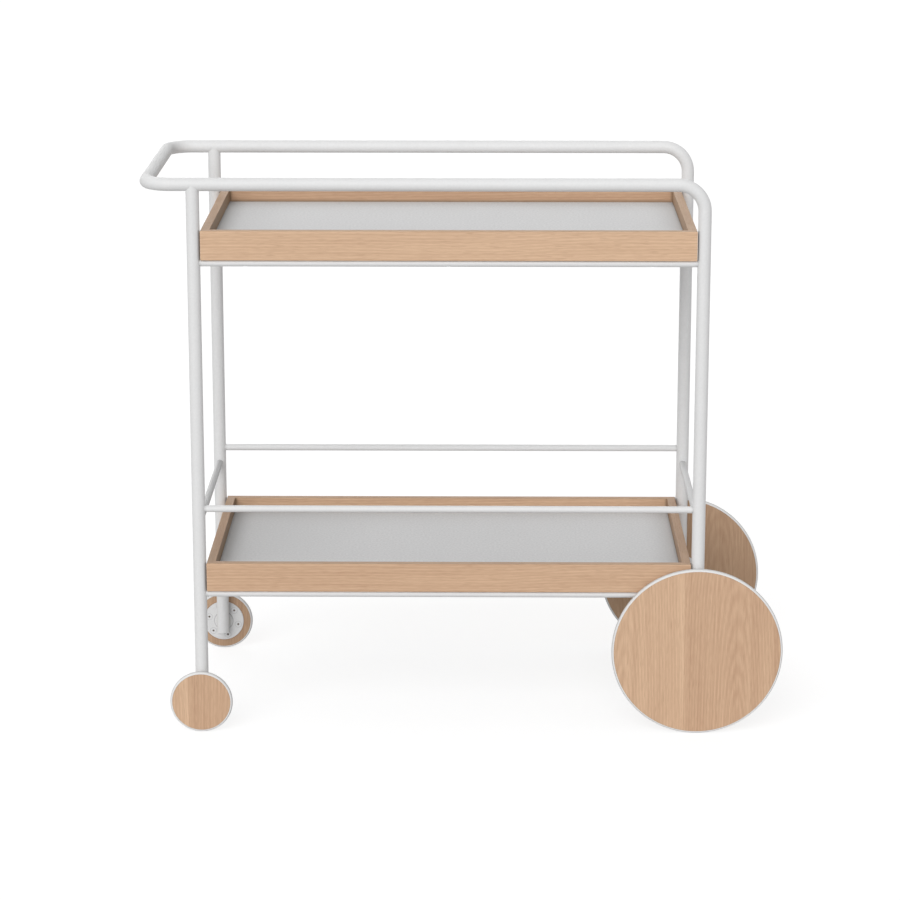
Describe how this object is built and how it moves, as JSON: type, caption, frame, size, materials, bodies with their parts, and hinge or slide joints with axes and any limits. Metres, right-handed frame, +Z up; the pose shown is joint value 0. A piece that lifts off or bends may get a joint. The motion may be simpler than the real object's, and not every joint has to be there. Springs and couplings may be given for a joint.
{
  "type": "serving cart",
  "caption": "Serving cart with a white bent-tube frame and push handle, oak-rimmed grey trays one above the other, guard rods over the lower one, big oak disc wheels and small handle-end ones.",
  "frame": {"origin": "on the floor, midway along the cart's length and width", "axes": "+X towards the big wheels, +Y to the left of a person at the handle, +Z up"},
  "size_m": [0.8805, 0.3908, 0.776],
  "materials": {
    "frame_paint": "matt white powder coat on steel tube and rod",
    "oak": "clear matt lacquered oak",
    "panel_laminate": "light grey laminate, finely speckled",
    "tyre_rubber": "white rubber",
    "hub_paint": "matt white powder coat on steel plate",
    "screw_paint": "white coated steel",
    "bush_brass": "plain turned brass",
    "axle_steel": "zinc plated steel",
    "washer_nylon": "natural nylon",
    "plug_plastic": "white moulded plastic"
  },
  "bodies": {
    "frame": {"axle_bosses": "axle_steel", "big_wheel_axle_bolt_left": "axle_steel", "big_wheel_axle_bolt_right": "axle_steel", "big_wheel_thrust_washer_left": "washer_nylon", "big_wheel_thrust_washer_right": "washer_nylon", "guard_rod_handle_end": "frame_paint", "guard_rod_left": "frame_paint", "guard_rod_right": "frame_paint", "guard_rod_wheel_end": "frame_paint", "handle_leg_left": "frame_paint", "handle_leg_right": "frame_paint", "leg_plugs": "plug_plastic", "lower_tray_board_handle_end": "oak", "lower_tray_board_left": "oak", "lower_tray_board_right": "oak", "lower_tray_board_wheel_end": "oak", "lower_tray_panel": "panel_laminate", "lower_tray_rod_left": "frame_paint", "lower_tray_rod_right": "frame_paint", "rail_tube": "frame_paint", "small_wheel_axle_bolt_left": "axle_steel", "small_wheel_axle_bolt_right": "axle_steel", "small_wheel_thrust_washer_left": "washer_nylon", "small_wheel_thrust_washer_right": "washer_nylon", "tray_screws_lower": "axle_steel", "tray_screws_upper": "axle_steel", "upper_tray_board_handle_end": "oak", "upper_tray_board_left": "oak", "upper_tray_board_right": "oak", "upper_tray_board_wheel_end": "oak", "upper_tray_panel": "panel_laminate", "upper_tray_rod_left": "frame_paint", "upper_tray_rod_right": "frame_paint"},
    "big_wheel_right": {"big_wheel_disc_right": "oak", "big_wheel_tyre_right": "tyre_rubber", "big_wheel_hub_plate_right": "hub_paint", "big_wheel_bush_right": "bush_brass", "big_wheel_hub_screws_right": "screw_paint"},
    "big_wheel_left": {"big_wheel_disc_left": "oak", "big_wheel_tyre_left": "tyre_rubber", "big_wheel_hub_plate_left": "hub_paint", "big_wheel_bush_left": "bush_brass", "big_wheel_hub_screws_left": "screw_paint"},
    "small_wheel_right": {"small_wheel_disc_right": "oak", "small_wheel_tyre_right": "tyre_rubber", "small_wheel_hub_plate_right": "hub_paint", "small_wheel_bush_right": "bush_brass", "small_wheel_hub_screws_right": "screw_paint"},
    "small_wheel_left": {"small_wheel_disc_left": "oak", "small_wheel_tyre_left": "tyre_rubber", "small_wheel_hub_plate_left": "hub_paint", "small_wheel_bush_left": "bush_brass", "small_wheel_hub_screws_left": "screw_paint"}
  },
  "joints": [
    {"name": "big_wheel_right_spin", "type": "hinge", "parent": "frame", "child": "big_wheel_right", "pos_m": [0.32175, -0.19145, 0.1185], "axis": [0, 1, 0], "continuous": true},
    {"name": "big_wheel_left_spin", "type": "hinge", "parent": "frame", "child": "big_wheel_left", "pos_m": [0.32175, 0.19145, 0.1185], "axis": [0, 1, 0], "continuous": true},
    {"name": "small_wheel_right_spin", "type": "hinge", "parent": "frame", "child": "small_wheel_right", "pos_m": [-0.36625, -0.19145, 0.0435], "axis": [0, 1, 0], "continuous": true},
    {"name": "small_wheel_left_spin", "type": "hinge", "parent": "frame", "child": "small_wheel_left", "pos_m": [-0.36625, 0.19145, 0.0435], "axis": [0, 1, 0], "continuous": true}
  ]
}
